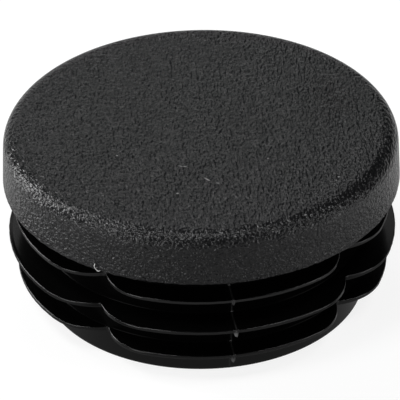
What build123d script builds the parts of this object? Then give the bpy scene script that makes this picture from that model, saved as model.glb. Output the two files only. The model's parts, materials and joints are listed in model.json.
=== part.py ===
"""Lamellar end cap for a round tube, moulded in one piece of black polyethylene.

The head covers the tube's end. Below it a hollow core carries three thin lamellae, each
cut into four lobes by V notches, which bend as the cap is driven in and grip the bore.
Frame: +Z is the cap's axis, towards the head. Z = 0 is the open foot of the core, and a
lobe is centred on each of the X and Y axes. Lengths are in millimetres, angles in degrees.
"""

import os
from math import cos, radians, sin, tan

from build123d import *

os.makedirs("parts", exist_ok=True)

# Head: a grained disc as wide as the tube, with a soft shoulder round its top
head_diameter = 50.0
head_height = 7.1
head_plate = 3.0  # thickness of the closed end, over the hollow
shoulder_radius = 2.1
head_draft = 2.0  # lean of the side wall towards the top
rim_radius = 0.3  # lower outer edge of the head

# Core: the hollow plug that carries the lamellae
insert_depth = 15.7  # from the seat under the head to the foot
seat_width = 4.4  # radial width of the ring that covers the tube's wall
core_wall = 2.0
core_draft = 0.5  # outside, narrowing towards the foot
bore_draft = 1.0  # inside, widening towards the foot
foot_chamfer = 0.4  # lead-in round the outer edge of the foot
mouth_chamfer = 0.3  # inner edge of the foot
ceiling_chamfer = 1.0  # thickened corner at the closed end of the hollow
gate_diameter = 2.4  # stub of the feed point on the hollow's ceiling
gate_height = 0.5
gate_taper = 15.0

# Lamellae: how far each lies below the seat, stands out from the core, and is notched
upper_drop = 3.4
upper_reach = 3.15
upper_notch = 2.95
middle_drop = 7.45
middle_reach = 3.9
middle_notch = 2.55
lower_drop = 11.8
lower_reach = 2.9
lower_notch = 3.0
lamella_edge = 0.45  # thickness at the rim
lamella_draft = 2.0  # slope of each face, so the lamella thickens towards the core
lobes = 4
lobe_crown = 55.0  # angle of each lobe that keeps its full radius, before the corners

# Worked out from the sizes above
head_radius = head_diameter / 2
seat_radius = head_radius - seat_width
seat_level = insert_depth
top_level = insert_depth + head_height
ceiling_level = top_level - head_plate
foot_outer_radius = seat_radius - insert_depth * tan(radians(core_draft))
foot_inner_radius = foot_outer_radius - core_wall
ceiling_outer_radius = foot_inner_radius - ceiling_level * tan(radians(bore_draft))
head_top_radius = head_radius - head_height * tan(radians(head_draft))


def core_radius(level):
    """Radius of the core's drafted outside at a height above the foot."""
    return foot_outer_radius + level * tan(radians(core_draft))


def lobed_outline(rim, notch):
    """Plan outline of a lamella: lobes of radius rim that meet in V notches at radius notch.

    Half a lobe is drawn: its crown, then one arc tangent to the crown that turns in to the
    notch. It is mirrored into a lobe, and the lobe is repeated round the axis.
    """
    half_pitch = radians(180 / lobes)
    notch_point = (notch * cos(half_pitch), notch * sin(half_pitch))
    with BuildSketch() as lobe:
        with BuildLine():
            crown = CenterArc((0, 0), rim, 0, lobe_crown / 2)
            corner = TangentArc(crown @ 1, notch_point, tangent=crown % 1)
            Polyline(corner @ 1, (0, 0), crown @ 0)
        make_face()
        mirror(about=Plane.XZ)
    with BuildSketch() as outline:
        with PolarLocations(0, lobes):
            add(lobe.sketch)
    return outline.sketch


def lamella(drop, reach, notch_depth):
    """One lamella: a disc that thins towards its rim, trimmed to the lobed outline."""
    level = seat_level - drop
    core = core_radius(level)
    rim = core + reach
    inside = core - core_wall / 2
    edge_half = lamella_edge / 2
    inside_half = edge_half + (rim - inside) * tan(radians(lamella_draft))
    outline = lobed_outline(rim, rim - notch_depth)
    with BuildPart() as disc:
        with BuildSketch(Plane.XZ):
            with BuildLine():
                Polyline(
                    (inside, level - inside_half),
                    (rim, level - edge_half),
                    (rim, level + edge_half),
                    (inside, level + inside_half),
                    close=True,
                )
            make_face()
        revolve(axis=Axis.Z)
        with BuildSketch(Plane.XY.offset(level - inside_half)):
            add(outline)
        extrude(amount=2 * inside_half, mode=Mode.INTERSECT)
    return disc.part


upper_lamella = lamella(upper_drop, upper_reach, upper_notch)
middle_lamella = lamella(middle_drop, middle_reach, middle_notch)
lower_lamella = lamella(lower_drop, lower_reach, lower_notch)

# Corners of the half section of head and core, from the hollow's ceiling round to the top
ceiling_corner = (ceiling_outer_radius, ceiling_level)
foot_inner_corner = (foot_inner_radius, 0)
foot_outer_corner = (foot_outer_radius, 0)
root_corner = (seat_radius, seat_level)
rim_corner = (head_radius, seat_level)
shoulder_corner = (head_top_radius, top_level)

with BuildPart() as end_cap:
    with BuildSketch(Plane.XZ) as section:
        with BuildLine():
            Polyline(
                (0, ceiling_level),
                ceiling_corner,
                foot_inner_corner,
                foot_outer_corner,
                root_corner,
                rim_corner,
                shoulder_corner,
                (0, top_level),
                close=True,
            )
        make_face()
        for corner, radius in (
            (rim_corner, rim_radius),
            (shoulder_corner, shoulder_radius),
        ):
            fillet(section.vertices().sort_by_distance(corner)[0], radius)
        for corner, length in (
            (foot_outer_corner, foot_chamfer),
            (foot_inner_corner, mouth_chamfer),
            (ceiling_corner, ceiling_chamfer),
        ):
            chamfer(section.vertices().sort_by_distance(corner)[0], length)
    revolve(axis=Axis.Z)
    with BuildSketch(Plane.XY.offset(ceiling_level)):
        Circle(gate_diameter / 2)
    extrude(amount=-gate_height, taper=gate_taper)
    add(upper_lamella)
    add(middle_lamella)
    add(lower_lamella)

end_cap.part.label = "end_cap"
export_step(end_cap.part, "parts/end_cap.step")
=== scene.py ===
"""Push-in end cap for a 50 mm round tube, in black polyethylene, dressed over its CAD model.

The frame is the CAD's: Z = 0 is the open foot of the core, +Z points to the head, and the front
lobe of each lamella is centred on -Y. Lengths are in metres, and MM turns millimetres into them.
"""
import json
from math import cos, pi, radians, sin, tan

import bpy
import numpy as np
from mathutils import Matrix, Vector


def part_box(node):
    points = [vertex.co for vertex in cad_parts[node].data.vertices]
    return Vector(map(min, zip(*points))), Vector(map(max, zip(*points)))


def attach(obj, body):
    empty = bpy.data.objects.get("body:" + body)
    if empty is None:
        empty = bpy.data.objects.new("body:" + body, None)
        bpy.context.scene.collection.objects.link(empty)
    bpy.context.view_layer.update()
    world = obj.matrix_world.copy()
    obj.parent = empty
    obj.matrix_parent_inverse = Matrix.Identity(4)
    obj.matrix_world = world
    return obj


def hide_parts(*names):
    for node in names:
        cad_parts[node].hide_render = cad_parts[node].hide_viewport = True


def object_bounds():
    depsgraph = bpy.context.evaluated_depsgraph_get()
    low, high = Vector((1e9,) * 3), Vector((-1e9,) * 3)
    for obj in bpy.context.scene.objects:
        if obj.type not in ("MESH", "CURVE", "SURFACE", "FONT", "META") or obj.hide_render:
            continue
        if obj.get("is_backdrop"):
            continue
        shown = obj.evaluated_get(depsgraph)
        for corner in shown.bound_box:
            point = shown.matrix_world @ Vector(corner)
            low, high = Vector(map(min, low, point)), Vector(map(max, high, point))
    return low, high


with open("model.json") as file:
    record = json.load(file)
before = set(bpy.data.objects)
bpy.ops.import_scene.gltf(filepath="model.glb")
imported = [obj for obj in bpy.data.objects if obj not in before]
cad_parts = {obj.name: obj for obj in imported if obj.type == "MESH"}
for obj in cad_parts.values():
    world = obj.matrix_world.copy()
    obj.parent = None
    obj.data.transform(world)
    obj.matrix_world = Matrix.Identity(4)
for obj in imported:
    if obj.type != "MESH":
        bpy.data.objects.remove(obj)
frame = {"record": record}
cad_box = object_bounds()

# ---------------------------------------------------------------------------------------------
# The moulding. One piece of black low-density polyethylene: a disc head with a spark-eroded
# grain, a hollow core and three thin lamellae. Two slides form its outside below the head, and a
# little flash stands where they part.
# ---------------------------------------------------------------------------------------------
MM = 0.001
high_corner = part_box("end_cap")[1]
mounts = {mount["name"]: mount for mount in frame["record"]["mounts"]}

top_level = high_corner[2]
seat_level = mounts["tube_seat"]["pos_m"][2]
head_draft = radians(2.0)
shoulder_radius = 2.1 * MM
# The round along the head's lower rim is uneven. It is its radius times the swell, give or take its
# radius times the swing
rim_radius = 0.3 * MM
rim_swell = 1.35
rim_swing = 0.35
# The rim's round starts a little inside the head's full radius, because the wall above it leans
head_radius = high_corner[0] + rim_radius * tan(head_draft)
head_top_radius = head_radius - (top_level - seat_level) * tan(head_draft)

# The core stands back from the head's rim by the seat, which the tube's end meets
seat_width = 4.4 * MM
core_draft = radians(0.5)
core_top_radius = head_radius - seat_width
core_foot_radius = core_top_radius - seat_level * tan(core_draft)
# Inside it is hollow up to the head's plate, with the mark of the gate in the middle of the ceiling
core_wall = 2.0 * MM
head_plate = 3.0 * MM
bore_draft = radians(1.0)
bore_foot_radius = core_foot_radius - core_wall
ceiling_level = top_level - head_plate
bore_top_radius = bore_foot_radius - ceiling_level * tan(bore_draft)
gate_radius = 1.2 * MM
gate_height = 0.5 * MM
gate_draft = radians(15)

# Each lamella has four lobes. A lobe's outline is round over its crown and turns in to a notch
lobes = 4
lobe_pitch = 2 * pi / lobes
lobe_crown = radians(55.0)
lamella_edge = 0.45 * MM
lamella_draft = radians(2.0)
edge_round = 0.11 * MM
root_round = 0.12 * MM
# How far each lamella lies below the seat, stands out from the core, and is cut in at its notches
lamellae = (
    {"drop": 3.4 * MM, "reach": 3.15 * MM, "notch": 2.95 * MM},
    {"drop": 7.45 * MM, "reach": 3.9 * MM, "notch": 2.55 * MM},
    {"drop": 11.8 * MM, "reach": 2.9 * MM, "notch": 3.0 * MM},
)
# The slides part at the middle of the front and back lobes. Flash stands there as a low ridge, and hangs
# as a nub under each lamella's rim. Each nub's tone is a painted highlight for the light its round bead
# catches, paler on some nubs than on others
nubs = (
    {"depth": 0.35 * MM, "half_width": 0.17 * MM, "tone": "#303030"},
    {"depth": 0.62 * MM, "half_width": 0.27 * MM, "tone": "#8c8c8c"},
    {"depth": 0.75 * MM, "half_width": 0.3 * MM, "tone": "#707070"},
)
flash_height = 0.09 * MM
flash_width = 0.09 * MM
# The parting line keeps to the plane X = 0, give or take the angle here at each height
wander_levels = np.array([3.9, 4.7, 7.3, 8.25, 9.2, 11.5, 12.3]) * MM
wander_angles = np.radians([-0.67, 0.5, 0.5, -0.07, 0.8, 0.8, -0.5])
# Lip along the top edge of each crown, for the lobes at +X, +Y, -X and -Y
crown_lips = np.array([0.02, 0.04, 0.12, 0.02]) * MM

# Columns of the mesh run round the axis. They are even, apart from dense ones, up to a reach each
# side of the parting lines and of each crown's ends
even_columns = 432
crown_ends = [lobe_pitch * lobe + side * lobe_crown / 2 for lobe in range(lobes) for side in (-1, 1)]
columns = np.linspace(-pi, pi, even_columns, endpoint=False)
for centres, reach, spacing in (
    ((-pi / 2, pi / 2), radians(1.5), radians(0.125)),
    (crown_ends, radians(0.8), radians(0.2)),
):
    for centre in centres:
        away = (columns - centre + pi) % (2 * pi) - pi
        dense = centre + np.arange(-reach, reach + spacing / 2, spacing)
        columns = np.concatenate([columns[np.abs(away) > reach + spacing / 2], dense])
columns = np.sort((columns + pi) % (2 * pi) - pi)
off_lobe_centre = np.abs((columns + lobe_pitch / 2) % lobe_pitch - lobe_pitch / 2)


def off_parting(level):
    """Angle from each column to the nearer parting line, at one height or at a height for each."""
    drifted = columns - np.interp(level, wander_levels, wander_angles)
    return np.minimum(np.abs(drifted - pi / 2), np.abs(drifted + pi / 2))


def ragged(seed):
    """Unevenness of a moulded edge at each column, between -1 and 1.

    Random heights one degree apart round the axis, joined by straight lines.
    """
    knots = np.linspace(-pi, pi, 361)
    heights = np.random.default_rng(seed).uniform(-1, 1, knots.size)
    heights[-1] = heights[0]
    return np.interp(columns, knots, heights)


def lobed_rim(rim, notch):
    """Radius of a lamella's outline at each column.

    Measured from the nearest lobe's centre, the outline is a circle of radius rim as far as the
    end of the crown. From there an arc tangent to it turns in to the notch, half way to the next
    lobe, at radius notch. The arc's radius is the one that joins those two points, and its centre
    lies on the line from the axis to the end of the crown. Past the crown, a column's radius is
    where its ray from the axis meets the arc.
    """
    crown_end = lobe_crown / 2
    along = notch * cos(lobe_pitch / 2 - crown_end)
    corner = (notch**2 + rim**2 - 2 * rim * along) / (2 * (rim - along))
    centre = rim - corner
    past_crown = np.clip(off_lobe_centre - crown_end, 0, None)
    on_arc = centre * np.cos(past_crown) + np.sqrt(corner**2 - (centre * np.sin(past_crown)) ** 2)
    return np.where(past_crown > 0, on_arc, rim)


def core_radius(level):
    """Radius of the core's drafted outside at a height above the foot."""
    return core_foot_radius + level * tan(core_draft)


# A run's first and last row lie this share of its length from its ends, which keeps the shading of
# the rounds off its middle
row_margin = 0.03


def rounded_profile(corners):
    """Rows of points along a profile through its corners, for every column at once.

    Each corner gives its radius and height, both one number or one for each column, the radius of
    its round, the rows on that round, and the rows on the straight run before it. A round is the
    arc tangent to both runs: it leaves the corner's first run at round * tan(turn / 2) before the
    corner and turns by the angle between the runs. On a run of three rows or more, the margin
    comes first and last, and the rows between are even.
    """
    place = np.array([
        [np.broadcast_to(corner["at"][axis], columns.shape) for axis in (0, 1)] for corner in corners
    ])
    runs = np.diff(place, axis=0)
    lengths = np.linalg.norm(runs, axis=1, keepdims=True)
    directions = runs / lengths
    rows = [place[0]]
    run_start = place[0]
    for index in range(1, len(corners)):
        corner = corners[index]
        arc_rows = corner.get("arc", 0)
        before = directions[index - 1]
        if arc_rows:
            after = directions[index]
            cosine = np.clip((before * after).sum(0), -1, 1)
            turn = np.arccos(cosine)
            inward = (after - cosine * before) / np.sin(turn)
            radius = np.broadcast_to(corner["round"], columns.shape)
            tangent = radius * np.tan(turn / 2)
            run_end = place[index] - tangent * before
        else:
            run_end = place[index]
        run_rows = corner["run"]
        steps = np.linspace(0, 1, run_rows + 1)[1:]
        if run_rows > 2:
            known_rows = (0, 1, run_rows - 1, run_rows)
            steps = np.interp(np.arange(1, run_rows + 1), known_rows, (0, row_margin, 1 - row_margin, 1))
        for step in steps:
            rows.append(run_start + (run_end - run_start) * step)
        run_start = run_end
        if arc_rows:
            for part in np.linspace(0, 1, arc_rows + 1)[1:]:
                swept = turn * part
                rows.append(run_end + radius * (np.sin(swept) * before + (1 - np.cos(swept)) * inward))
            run_start = rows[-1]
    return np.array(rows)


# Where a notch reaches the core, a lamella still stands out by a hair's breadth. Its rounds, and the
# band between its faces and its rim, are at most these shares of what stands out
hair = 0.03 * MM
round_share = 0.4
rim_band = 0.4 * MM
rim_band_share = 0.3
# The lip fades over this angle at the crown's end
lip_fade = radians(0.35)
# The rim is uneven by this swing, and the flash stands out from it, most of all at the nub's foot
edge_swing = 0.02 * MM
flash_at_rim = 0.04 * MM
flash_at_nub = 0.3 * MM
# Rows on the core's wall above each lamella, and on the round at each of its ends
wall_rows = 3
root_rows = 3


def lamella_corners(drop, reach, notch, nub, seed):
    """Corners of a lamella's profile: root, band and rim above, nub's foot, band and root below.

    Its faces are cones: the half thickness is half the edge at the crown's rim and grows inwards
    by the draft. The nub's outline is half an ellipse: it hangs by its depth times
    sqrt(1 - (distance from the parting line / half its width) ** 2). The swing is drawn from the
    seed and shrinks to nothing at the notches.
    """
    level = seat_level - drop
    core = core_radius(level)
    rim = np.maximum(lobed_rim(core + reach, core + reach - notch), core + hair)
    standing = rim - core
    inside = rim - np.minimum(rim_band, rim_band_share * standing)
    half_at_core = lamella_edge / 2 + reach * tan(lamella_draft)
    half_inside = half_at_core - (inside - core) * tan(lamella_draft)
    half_at_rim = half_at_core - standing * tan(lamella_draft)
    root = np.minimum(root_round, round_share * standing)
    edge = np.minimum(edge_round, round_share * standing)
    on_crown = np.clip((lobe_crown / 2 - off_lobe_centre) / lip_fade + 0.5, 0, 1)
    nearest_lobe = np.round(columns / lobe_pitch).astype(int) % lobes
    lip = crown_lips[nearest_lobe] * on_crown
    hang = np.sqrt(np.clip(1 - (off_parting(level) * rim / nub["half_width"]) ** 2, 0, None))
    rim = rim + edge_swing * ragged(seed) * np.clip(standing / reach, 0, 1) + flash_at_rim * hang
    nub_rim = rim + flash_at_nub * hang
    nub_foot = level - half_at_rim - nub["depth"] * hang
    return [
        {"at": (core, level + half_at_core), "round": root, "arc": root_rows, "run": wall_rows},
        {"at": (inside, level + half_inside), "run": 3},
        {"at": (rim, level + half_at_rim + lip), "round": edge, "arc": 4, "run": 1},
        {"at": (nub_rim, nub_foot), "round": edge, "arc": 4, "run": 3},
        {"at": (inside, level - half_inside), "run": 1},
        {"at": (core, level - half_at_core), "round": root, "arc": root_rows, "run": 3},
    ]


def row_count(corners):
    """Rows of the profile that a list of corners takes up."""
    return sum(corner.get("run", 1) + corner.get("arc", 0) for corner in corners)


# The profile runs from the middle of the head's top down the outside and up the hollow. Each of its
# ends is a small ring, which the mesh closes
end_ring = 0.2 * MM
rim_rounds = rim_radius * (rim_swell + rim_swing * ragged(seed=1))
top_corners = [
    {"at": (end_ring, top_level)},
    {"at": (head_top_radius, top_level), "round": shoulder_radius, "arc": 14, "run": 8},
    {"at": (head_radius, seat_level), "round": rim_rounds, "arc": 5, "run": 10},
]
insert_corners = [{"at": (core_top_radius, seat_level), "round": 0.2 * MM, "arc": root_rows, "run": 4}]
wall_starts = []
for seed, (sizes, nub) in enumerate(zip(lamellae, nubs), start=2):
    wall_starts.append(row_count(top_corners + insert_corners))
    insert_corners += lamella_corners(**sizes, nub=nub, seed=seed)
insert_corners.append({"at": (core_foot_radius, 0), "round": 0.4 * MM, "arc": 4, "run": 3})
gate_end_radius = gate_radius - gate_height * tan(gate_draft)
hollow_corners = [
    {"at": (bore_foot_radius, 0), "round": 0.3 * MM, "arc": 3, "run": 1},
    {"at": (bore_top_radius, ceiling_level), "round": 1.0 * MM, "arc": 4, "run": 5},
    {"at": (gate_radius, ceiling_level), "round": 0.2 * MM, "arc": 2, "run": 6},
    {"at": (gate_end_radius, ceiling_level - gate_height), "run": 2},
    {"at": (end_ring, ceiling_level - gate_height), "run": 2},
]
profile = rounded_profile(top_corners + insert_corners + hollow_corners)

# The slides' rows, from the seat down to the foot, carry the flash. It is a ridge that stands along
# the profile's normal, as high as a bell curve of the distance from the parting line, and it fades
# out just above the foot
flash_fade = 0.6 * MM
head_rows = row_count(top_corners)
slide_rows = slice(head_rows, head_rows + row_count(insert_corners))
along = np.gradient(profile[slide_rows], axis=0)
normal = np.stack([-along[:, 1], along[:, 0]], axis=1)
normal /= np.linalg.norm(normal, axis=1, keepdims=True)
off_ridge = off_parting(profile[slide_rows, 1]) * profile[slide_rows, 0]
above_foot = np.clip(profile[slide_rows, 1] / flash_fade, 0, 1)
flash = np.zeros((len(profile), len(columns)))
flash[slide_rows] = above_foot * np.exp(-((off_ridge / flash_width) ** 2))
profile[slide_rows] += normal * flash_height * flash[slide_rows, None]


def closed_surface(name, grid):
    """Object with the mesh of a grid of points: one ring after another, and a point at each end.

    Neighbours in the grid are joined by quads, the last column back to the first, and each end
    ring by a fan to its middle. Faces point outwards if the columns turn counterclockwise, seen
    along the direction in which the rows advance.
    """
    rows_down, column_count = grid.shape[:2]
    points = np.concatenate([grid.reshape(-1, 3), grid[[0, -1]].mean(axis=1)])
    here = np.arange(rows_down * column_count).reshape(rows_down, column_count)
    right = np.roll(here, -1, axis=1)
    quads = np.stack([here[:-1], here[1:], right[1:], right[:-1]], axis=-1).reshape(-1, 4)
    first_end = np.full(column_count, len(points) - 2)
    fans = np.concatenate([
        np.stack([first_end, here[0], right[0]], axis=-1),
        np.stack([right[-1], here[-1], first_end + 1], axis=-1),
    ])
    mesh = bpy.data.meshes.new(name)
    mesh.from_pydata(points, [], quads.tolist() + fans.tolist())
    mesh.shade_smooth()
    piece = bpy.data.objects.new(name, mesh)
    bpy.context.collection.objects.link(piece)
    return piece


# The profile carried round the axis: radius * cos(angle), radius * sin(angle), height
radius, height = profile[:, 0], profile[:, 1]
grid = np.stack([radius * np.cos(columns), radius * np.sin(columns), height], axis=-1)
moulding = closed_surface("end_cap_moulding", grid)

# Finishes: the grained head, the smooth insert, and the core's walls, whose plastic is given next to no
# shine as painted shade. A wall's faces are the run above each lamella with the rounds at its ends,
# apart from a band where the flash crosses it
grained, polished, painted_shade_finish = 0, 1, 2
flash_band = radians(1.2)
finish = np.full((len(profile) - 1, len(columns)), grained)
finish[head_rows - 1:] = polished
off_flash = off_parting(seat_level) > flash_band
for wall_start in wall_starts:
    first_face = wall_start - 1 - root_rows
    wall_faces = slice(first_face, first_face + root_rows + wall_rows + root_rows)
    finish[wall_faces, off_flash] = painted_shade_finish
ends = np.repeat([grained, polished], len(columns))
moulding.data.polygons.foreach_set("material_index", np.append(finish, ends).astype(np.int32))
# How much of the ridge each vertex stands on, for the painted highlight on the ridge to follow; the two
# ends have none
on_flash = moulding.data.attributes.new("flash", "FLOAT", "POINT")
on_flash.data.foreach_set("value", np.append(flash, (0, 0)).astype(np.float32))


def srgb(hex_colour):
    """Linear RGBA of an sRGB hex colour."""
    parts = [int(hex_colour[place:place + 2], 16) / 255 for place in (1, 3, 5)]
    linear = [part / 12.92 if part <= 0.04045 else ((part + 0.055) / 1.055) ** 2.4 for part in parts]
    return (*linear, 1.0)


def add(tree, kind, inputs=None, **settings):
    """Node of one kind with its settings. Each input is a value, or another node's output."""
    node = tree.nodes.new(kind)
    for name, value in settings.items():
        setattr(node, name, value)
    for name, value in (inputs or {}).items():
        if isinstance(value, bpy.types.NodeSocket):
            tree.links.new(value, node.inputs[name])
        else:
            node.inputs[name].default_value = value
    return node


def new_material(name):
    """An empty material, with its node tree and its output node."""
    material = bpy.data.materials.new(name)
    material.use_nodes = True
    material.node_tree.nodes.clear()
    return material, material.node_tree, material.node_tree.nodes.new("ShaderNodeOutputMaterial")


# Black polyethylene from a spark-eroded mould: each spark left a tiny crater in the steel, so the
# plastic has rounded hills a third of a millimetre apart, which break its soft sheen into fine
# sparkles. They are longer front to back. The furrows between them shade themselves, and are drawn
# a little darker for it
grain_pitch = 0.33 * MM
grain_stretch = 2.1
# The noise under the grain is turned, so that its own cells don't line up with the cap's axes
grain_turn = radians(9.4)
# The depths are those of the noise's whole range, and the hills take up only part of it. The side
# was eroded deeper than the top, and the depth changes over across the shoulder
grain_depth = 0.24 * MM
side_grain_depth = 0.34 * MM
shoulder_level = top_level - 1.5 * MM
side_level = top_level - 3 * MM
eroded, tree, output = new_material("spark_eroded_polyethylene")
coordinates = add(tree, "ShaderNodeTexCoord").outputs["Object"]
drawn = add(tree, "ShaderNodeMapping", {
    "Vector": coordinates, "Rotation": (0, 0, grain_turn), "Scale": (1, 1 / grain_stretch, 1),
}).outputs["Vector"]
cloud = add(tree, "ShaderNodeTexNoise", {
    "Vector": drawn, "Scale": 1 / grain_pitch, "Detail": 1.0, "Roughness": 0.55,
}).outputs["Fac"]
tone = add(tree, "ShaderNodeValToRGB", {"Fac": cloud})
furrow, hilltop = tone.color_ramp.elements
furrow.position = 0.42
furrow.color = srgb("#141415")
hilltop.position = 0.8
hilltop.color = srgb("#212122")
level = add(tree, "ShaderNodeSeparateXYZ", {"Vector": coordinates}).outputs["Z"]
depth = add(tree, "ShaderNodeMapRange", {
    "Value": level, "From Min": side_level, "From Max": shoulder_level,
    "To Min": side_grain_depth, "To Max": grain_depth,
}).outputs["Result"]
hills = add(tree, "ShaderNodeBump", {
    "Height": cloud, "Distance": depth, "Strength": 1.0,
}).outputs["Normal"]
# Handling has left a few pale scuffs and specks on the top. Each is an ellipse that fades towards its
# edge: its centre, half its length and width, its turn from +X, and its strength, where 1 is full.
# The last four were read off the photograph, and a program worked out their centres
scuffs = (
    (-4.0 * MM, -8.3 * MM, 0.42 * MM, 0.14 * MM, radians(-38), 0.44),
    (-3.5 * MM, -8.5 * MM, 0.4 * MM, 0.14 * MM, radians(-10), 0.44),
    (-1.27 * MM, -11.9 * MM, 0.65 * MM, 0.16 * MM, radians(-56), 0.7),
    (-0.1 * MM, -13.0 * MM, 0.3 * MM, 0.16 * MM, radians(-30), 0.44),
    (-5.4 * MM, -14.35 * MM, 0.18 * MM, 0.18 * MM, 0, 1.4),
    (-11.34 * MM, -4.44 * MM, 0.18 * MM, 0.18 * MM, 0, 0.6),
    (6.98 * MM, -8.64 * MM, 0.18 * MM, 0.18 * MM, 0, 0.5),
    (14.79 * MM, -14.47 * MM, 0.18 * MM, 0.18 * MM, 0, 0.7),
)
scuffed = srgb("#9a9a9a")
colour = tone.outputs["Color"]
for x, y, half_length, half_width, turn, strength in scuffs:
    stroke = add(tree, "ShaderNodeMapping", {
        "Vector": coordinates, "Location": (x, y, top_level), "Rotation": (0, 0, turn),
        "Scale": (half_length, half_width, MM),
    }, vector_type="TEXTURE").outputs["Vector"]
    fade = add(tree, "ShaderNodeTexGradient", {"Vector": stroke}, gradient_type="SPHERICAL")
    fade = add(tree, "ShaderNodeMath", {
        0: fade.outputs["Fac"], 1: strength,
    }, operation="MULTIPLY", use_clamp=True).outputs[0]
    colour = add(tree, "ShaderNodeMix", {0: fade, 6: colour, 7: scuffed}, data_type="RGBA").outputs[2]
shader = add(tree, "ShaderNodeBsdfPrincipled", {
    "Base Color": colour, "Roughness": 0.17, "IOR": 1.38, "Normal": hills,
})
tree.links.new(shader.outputs["BSDF"], output.inputs["Surface"])

# The same plastic from the smooth steel slides of the mould: an even satin, as good as black. It is
# painted a little paler on the thin ridge of flash, as a painted highlight for the light the ridge
# catches
smooth_black = srgb("#050505")
ridge_highlight_grey = srgb("#252525")
# The painted highlight on a nub fades over a distance from a point at this share of its depth
nub_highlight_fade = 0.5 * MM
nub_highlight_share = 0.7
smooth, tree, output = new_material("smooth_moulded_polyethylene")
coordinates = add(tree, "ShaderNodeTexCoord").outputs["Object"]
ridge_highlight_mask = add(tree, "ShaderNodeAttribute", attribute_name="flash").outputs["Fac"]
colour = add(tree, "ShaderNodeMix", {
    0: ridge_highlight_mask, 6: smooth_black, 7: ridge_highlight_grey,
}, data_type="RGBA").outputs[2]
for sizes, nub in zip(lamellae, nubs):
    level = seat_level - sizes["drop"]
    nub_level = level - nub_highlight_share * nub["depth"]
    reach = core_radius(level) + sizes["reach"]
    turn = np.interp(level, wander_levels, wander_angles)
    for side in (-1, 1):
        middle = (-side * reach * sin(turn), side * reach * cos(turn), nub_level)
        near = add(tree, "ShaderNodeMapping", {
            "Vector": coordinates, "Location": middle, "Scale": (nub_highlight_fade, nub_highlight_fade, nub_highlight_fade),
        }, vector_type="TEXTURE").outputs["Vector"]
        fade = add(tree, "ShaderNodeTexGradient", {"Vector": near}, gradient_type="SPHERICAL")
        colour = add(tree, "ShaderNodeMix", {
            0: fade.outputs["Fac"], 6: colour, 7: srgb(nub["tone"]),
        }, data_type="RGBA").outputs[2]
shader = add(tree, "ShaderNodeBsdfPrincipled", {"Base Color": colour, "Roughness": 0.2, "IOR": 1.45})
tree.links.new(shader.outputs["BSDF"], output.inputs["Surface"])

# The same plastic on the core's walls, with next to no shine, so the walls look black: a shaded copy of
# the smooth plastic, as painted shade for the grooves between the lamellae
painted_shade_plastic, tree, output = new_material("moulded_polyethylene_painted_shade")
shader = add(tree, "ShaderNodeBsdfPrincipled", {
    "Base Color": smooth_black, "Roughness": 0.25, "IOR": 1.45, "Specular IOR Level": 0.03,
})
tree.links.new(shader.outputs["BSDF"], output.inputs["Surface"])

for material in (eroded, smooth, painted_shade_plastic):
    moulding.data.materials.append(material)
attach(moulding, "root")
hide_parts("end_cap")

# ---------------------------------------------------------------------------------------------
# Curl of flash. A hair of the same polyethylene, torn from the head's lower edge by the slides and
# still attached there. Stretched that far, the plastic has turned white.
# ---------------------------------------------------------------------------------------------
# Points on its middle line, from its root downwards and back up. They were read off the photograph,
# and a program put them on the head's side
curl_points = np.array([
    (-16.51, -18.83, 16.71), (-16.47, -18.86, 16.05), (-16.19, -19.1, 15.84), (-15.97, -19.29, 16.05),
]) * MM
curl_radius = 0.085 * MM


def curled_hair(points, radius, rows=24, around=10):
    """Grid of points round a hair that passes through four points and tapers to half its radius.

    Its middle is a cubic in the distance along the points. Each ring is
    middle + radius * (cos(angle) * side - sin(angle) * across), both square to the middle line.
    """
    reached = np.concatenate([[0], np.cumsum(np.linalg.norm(np.diff(points, axis=0), axis=1))])
    cubic = np.polyfit(reached, points, 3)
    place = np.linspace(0, reached[-1], rows)[:, None]
    middle = ((cubic[0] * place + cubic[1]) * place + cubic[2]) * place + cubic[3]
    tangent = (3 * cubic[0] * place + 2 * cubic[1]) * place + cubic[2]
    tangent /= np.linalg.norm(tangent, axis=1, keepdims=True)
    side = np.cross(tangent, points[0] * (1, 1, 0))
    side /= np.linalg.norm(side, axis=1, keepdims=True)
    across = np.cross(tangent, side)
    angle = np.linspace(0, 2 * pi, around, endpoint=False)[None, :, None]
    taper = radius * np.linspace(1, 0.5, rows)[:, None, None]
    return middle[:, None] + taper * (np.cos(angle) * side[:, None] - np.sin(angle) * across[:, None])


curl = closed_surface("flash_curl", curled_hair(curl_points, curl_radius))

# Stretched polyethylene: tiny cracks scatter the light, so it is white and waxy
stretched, tree, output = new_material("stretched_polyethylene")
shader = add(tree, "ShaderNodeBsdfPrincipled", {
    "Base Color": srgb("#d0d0ce"), "Roughness": 0.4, "IOR": 1.45,
})
tree.links.new(shader.outputs["BSDF"], output.inputs["Surface"])
curl.data.materials.append(stretched)
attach(curl, "root")

# ---------------------------------------------------------------------------------------------
# The floor. A broad sheet of matt white paper, laid flat. The loose cap stands on it on its open
# foot, and nothing holds it there.
# ---------------------------------------------------------------------------------------------
floor_size = 3.0
# The sheet is grey under the lamps. A glow that only the camera sees makes it white and keeps the
# cap's shadow
seen_lift = 0.85
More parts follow.
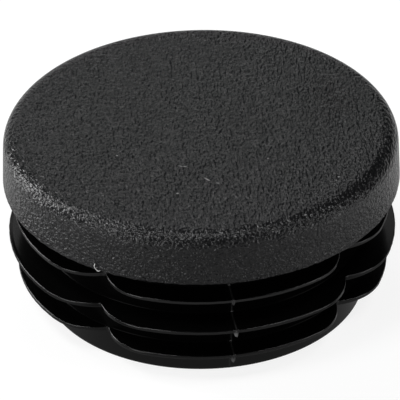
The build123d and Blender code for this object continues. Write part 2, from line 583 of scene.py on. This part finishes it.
# Where it is mirrored it is black but for a glow of its own, given as pairs of the distance from the
# axis and the level. It is dimmest a little way out from the lamellae, so that the grooves stay black
mirrored_reach = 90 * MM
mirrored_glow = (
    (0, 0.24), (25 * MM, 0.25), (28.5 * MM, 0.42), (30.5 * MM, 0.1), (34 * MM, 0.1), (36.5 * MM, 0.5),
    (41 * MM, 0.42), (45 * MM, 0.5), (50 * MM, 0.82), (62 * MM, 0.82), (mirrored_reach, 0.5),
)
mesh = bpy.data.meshes.new("floor")
half = floor_size / 2
corners = [(-half, -half, 0), (half, -half, 0), (half, half, 0), (-half, half, 0)]
mesh.from_pydata(corners, [], [(0, 1, 2, 3)])
floor = bpy.data.objects.new("floor", mesh)
bpy.context.collection.objects.link(floor)
paper, tree, output = new_material("matt_white_paper")
light_path = add(tree, "ShaderNodeLightPath").outputs
sheet_colour = add(tree, "ShaderNodeMix", {
    0: light_path["Is Glossy Ray"], 6: srgb("#808080"), 7: srgb("#000000"),
}, data_type="RGBA").outputs[2]
shader = add(tree, "ShaderNodeBsdfDiffuse", {"Color": sheet_colour})
mirrored = add(tree, "ShaderNodeMath", {
    0: light_path["Is Glossy Ray"], 1: light_path["Is Transmission Ray"],
}, operation="MAXIMUM").outputs[0]
place = add(tree, "ShaderNodeTexCoord").outputs["Object"]
distance = add(tree, "ShaderNodeVectorMath", {0: place}, operation="LENGTH").outputs["Value"]
share = add(tree, "ShaderNodeMath", {0: distance, 1: mirrored_reach}, operation="DIVIDE").outputs[0]
ramp = add(tree, "ShaderNodeValToRGB", {"Fac": share})
for reach, level in mirrored_glow[1:-1]:
    ramp.color_ramp.elements.new(reach / mirrored_reach)
for element, (reach, level) in zip(ramp.color_ramp.elements, mirrored_glow):
    element.color = (level, level, level, 1)
mirrored_lift = add(tree, "ShaderNodeMath", {
    0: mirrored, 1: ramp.outputs["Color"],
}, operation="MULTIPLY").outputs[0]
lift = add(tree, "ShaderNodeMath", {
    0: light_path["Is Camera Ray"], 1: seen_lift, 2: mirrored_lift,
}, operation="MULTIPLY_ADD").outputs[0]
glow = add(tree, "ShaderNodeEmission", {"Strength": lift})
both = add(tree, "ShaderNodeAddShader", {0: shader.outputs[0], 1: glow.outputs[0]})
tree.links.new(both.outputs[0], output.inputs["Surface"])
floor.data.materials.append(paper)
floor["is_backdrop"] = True

# ---------------------------------------------------------------------------------------------
# Light and camera. Eight soft boxes all round the cap, which give all its light, and a long lens
# that looks down on it from the front.
# ---------------------------------------------------------------------------------------------
world = bpy.data.worlds.new("room")
bpy.context.scene.world = world
world.use_nodes = True
world.node_tree.nodes.clear()
# Past the sheet's edge the room is white to the camera, and it gives no light
seen = add(world.node_tree, "ShaderNodeLightPath").outputs["Is Camera Ray"]
background = add(world.node_tree, "ShaderNodeBackground", {"Color": srgb("#ffffff"), "Strength": seen})
output = world.node_tree.nodes.new("ShaderNodeOutputWorld")
world.node_tree.links.new(background.outputs[0], output.inputs["Surface"])


def direction(azimuth, elevation):
    """Unit vector towards a place: azimuth 0 is -Y, where the camera is, and +90 degrees is +X."""
    return Vector((sin(azimuth) * cos(elevation), -cos(azimuth) * cos(elevation), sin(elevation)))


# Azimuth and elevation are in degrees, and radiance is the brightness of a box's face, where 1 is
# white. Every box faces the cap from the same distance. The table wasn't chosen by hand: a program
# picked these boxes out of 59, and fitted their radiance to the brightness of the photograph
box_distance = 0.8
softboxes = (
    {"name": "back_high_box", "azimuth": 180, "elevation": 50, "width": 0.2, "radiance": 4.70},
    {"name": "left_back_box", "azimuth": -120, "elevation": 50, "width": 0.2, "radiance": 11.72},
    {"name": "left_top_box", "azimuth": -60, "elevation": 65, "width": 0.2, "radiance": 13.85},
    {"name": "right_top_box", "azimuth": 60, "elevation": 65, "width": 0.2, "radiance": 10.03},
    {"name": "back_low_box", "azimuth": 180, "elevation": 16, "width": 0.6, "radiance": 0.44},
    {"name": "left_back_low_box", "azimuth": -120, "elevation": 12, "width": 0.35, "radiance": 9.47},
    {"name": "left_front_low_box", "azimuth": -60, "elevation": 12, "width": 0.35, "radiance": 6.86},
    {"name": "right_front_low_box", "azimuth": 60, "elevation": 12, "width": 0.35, "radiance": 4.58},
)
for box in softboxes:
    lamp = bpy.data.lights.new(box["name"], "AREA")
    lamp.shape = "SQUARE"
    lamp.size = box["width"]
    lamp.energy = box["radiance"] * pi * box["width"] ** 2
    source = bpy.data.objects.new(box["name"], lamp)
    towards = direction(radians(box["azimuth"]), radians(box["elevation"]))
    source.location = towards * box_distance
    source.rotation_euler = towards.to_track_quat("Z", "Y").to_euler()
    source.visible_camera = False
    bpy.context.collection.objects.link(source)

# Programs fitted the camera's angles, lens and aim to the edges of the head and the lamellae
camera_azimuth = radians(-9.4)
camera_elevation = radians(33.3)
camera_roll = radians(-0.92)
camera_distance = 0.7
# The lens and the sensor behind it are in millimetres
camera_lens = 498.8
camera_sensor = 36
# The camera aims at this height on the axis, and this far to the right of it
aim_level = 11.913 * MM
aim_aside = -0.22 * MM
back = direction(camera_azimuth, camera_elevation)
level_right = Vector((cos(camera_azimuth), sin(camera_azimuth), 0))
level_up = back.cross(level_right)
right = level_right * cos(camera_roll) + level_up * sin(camera_roll)
up = level_up * cos(camera_roll) - level_right * sin(camera_roll)
aim = Vector((0, 0, aim_level)) + level_right * aim_aside
camera_data = bpy.data.cameras.new("camera")
camera_data.lens = camera_lens
camera_data.sensor_width = camera_sensor
camera = bpy.data.objects.new("camera", camera_data)
bpy.context.collection.objects.link(camera)
turned = Matrix((right, up, back)).transposed().to_4x4()
camera.matrix_world = Matrix.Translation(aim + back * camera_distance) @ turned
bpy.context.scene.camera = camera
bpy.context.scene.view_settings.view_transform = "Standard"

visual_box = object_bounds()
sizes = {"cad": [list(corner) for corner in cad_box], "visual": [list(corner) for corner in visual_box]}
